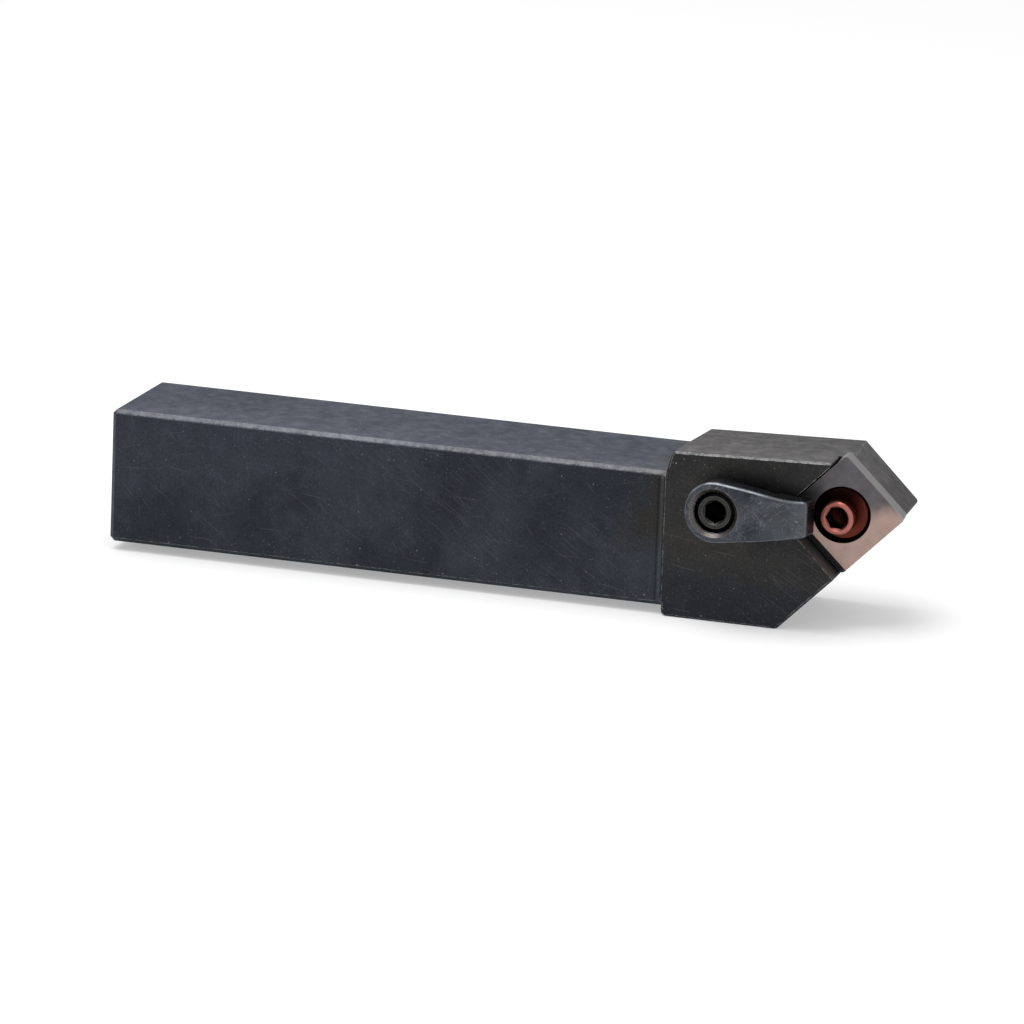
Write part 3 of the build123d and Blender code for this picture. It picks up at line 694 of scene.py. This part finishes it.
# %% [markdown]
# ## Dress the pieces
# Each CAD piece keeps its shape and gets its finish in every one of its slots.

# %% Assign the finishes
finishes = {
    "holder_body": holder_finish,
    "shim": shim_finish,
    "lock_pin": pin_finish,
    "clamp": clamp_finish,
    "clamp_screw": screw_finish,
}
for name, finish in finishes.items():
    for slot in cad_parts[name].material_slots:
        slot.material = finish
    print(name, "wears", finish.name)

# %% [markdown]
# ## Table
# The photograph shows a white table with a faint, soft shadow. The table is a wide plane
# just below the lowest point of the tool. Its matt white reflects 70 percent, and the
# camera sees an even glow on top of it, so the open table is pure white and the shadow
# stays on it, light and soft.

# %% Floor
TABLE_DROP, TABLE_SIZE = 0.02 * MM, 8.0  # metres
TABLE_GREY, TABLE_GLOW = 0.70, 0.36  # how white the paper is, and how strong its glow

bpy.ops.object.select_all(action="DESELECT")
low = cad_box[0][2] - TABLE_DROP
bpy.ops.mesh.primitive_plane_add(size=TABLE_SIZE, location=(0, 0, low))
floor = bpy.context.object
floor.name = "table"
bpy.ops.object.transform_apply(location=True, rotation=False, scale=False)
white = bpy.data.materials.new("white_matt_table")
white.use_nodes = True
tree = white.node_tree
tree.nodes.clear()
rays = add(tree, "LightPath").outputs
seen = add(tree, "Math", (rays["Is Camera Ray"], rays["Is Glossy Ray"]), operation="ADD")
seen = add(tree, "Math", (seen, rays["Is Transmission Ray"]), operation="ADD", use_clamp=True)
glow = add(tree, "MapRange", {"Value": seen, "To Max": TABLE_GLOW})
paper = add(tree, "BsdfDiffuse", {"Color": (TABLE_GREY, TABLE_GREY, TABLE_GREY, 1)})
sheen = add(tree, "Emission", {"Color": (1, 1, 1, 1), "Strength": glow})
both = add(tree, "AddShader", (paper, sheen))
add(tree, "OutputMaterial", (both,))
floor.data.materials.append(white)
print("floor at", round(low / MM, 3), "mm")

# %% [markdown]
# ## Studio light
# A white world gives even light from all round, as in a light tent. The camera and shiny
# metal see it as plain white, while the light that it gives to dull surfaces is weaker.

# %% World
TENT_LIGHT = 0.62  # the strength of the world as a light

world = bpy.data.worlds.new("light_tent")
bpy.context.scene.world = world
world.use_nodes = True
sky = world.node_tree
sky.nodes.clear()
rays = add(sky, "LightPath").outputs
seen = add(sky, "Math", (rays["Is Camera Ray"], rays["Is Glossy Ray"]), operation="ADD")
seen = add(sky, "Math", (seen, rays["Is Transmission Ray"]), operation="ADD", use_clamp=True)
strength = add(sky, "MapRange", {"Value": seen, "To Min": TENT_LIGHT})
glow = add(sky, "Background", {"Color": (1, 1, 1, 1), "Strength": strength})
add(sky, "OutputWorld", (glow,))
print("world", world.name)

# %% [markdown]
# ## Lamp
# A large soft lamp above makes the shadow under the overhanging tip. It stands where the
# rounded upper edges mirror it towards the camera, so it also draws the bright lines along
# the shank and the clamp.

# %% Lamp
def soft_lamp(name, place, aim, width, height, power):
    """A rectangular lamp that faces the point it aims at."""
    lamp = bpy.data.lights.new(name, "AREA")
    lamp.shape = "RECTANGLE"
    lamp.size, lamp.size_y = width, height
    lamp.energy = power
    stand = bpy.data.objects.new(name, lamp)
    bpy.context.scene.collection.objects.link(stand)
    stand.location = place
    stand.rotation_euler = (Vector(aim) - Vector(place)).to_track_quat("-Z", "Y").to_euler()
    print(name, round((Vector(aim) - Vector(place)).length, 2), "m away")


soft_lamp("large_soft_lamp", place=(-0.12, -0.15, 1.1), aim=(0.1, 0, 0), width=0.9, height=0.8,
          power=8.0)

# %% [markdown]
# ## Camera
# The photograph was taken with a long lens from the tip's end, a little above the tool.
# Its place and direction come from fitting the corners of the tool in the photograph to
# the corners of the model.

# %% Camera
FOCAL_PIXELS, FRAME_PIXELS = 9000, 1024  # the fitted lens, and the photograph's width
SENSOR = 36.0  # millimetres

eye = Vector((0.71432, -1.92996, 0.50889))
ahead = Vector((-0.29684, 0.92314, -0.24435)).normalized()
up = Vector((-0.10914, 0.22141, 0.96905))
right = ahead.cross(up).normalized()
up = right.cross(ahead)
lens = bpy.data.cameras.new("long_lens")
lens.sensor_width = SENSOR
lens.lens = FOCAL_PIXELS / FRAME_PIXELS * SENSOR
lens.clip_end = 20.0
camera = bpy.data.objects.new("camera", lens)
bpy.context.scene.collection.objects.link(camera)
camera.matrix_world = Matrix((
    (right.x, up.x, -ahead.x, eye.x),
    (right.y, up.y, -ahead.y, eye.y),
    (right.z, up.z, -ahead.z, eye.z),
    (0, 0, 0, 1),
))
bpy.context.scene.camera = camera
bpy.context.scene.view_settings.view_transform = "Standard"
print("lens", round(lens.lens, 1), "mm")
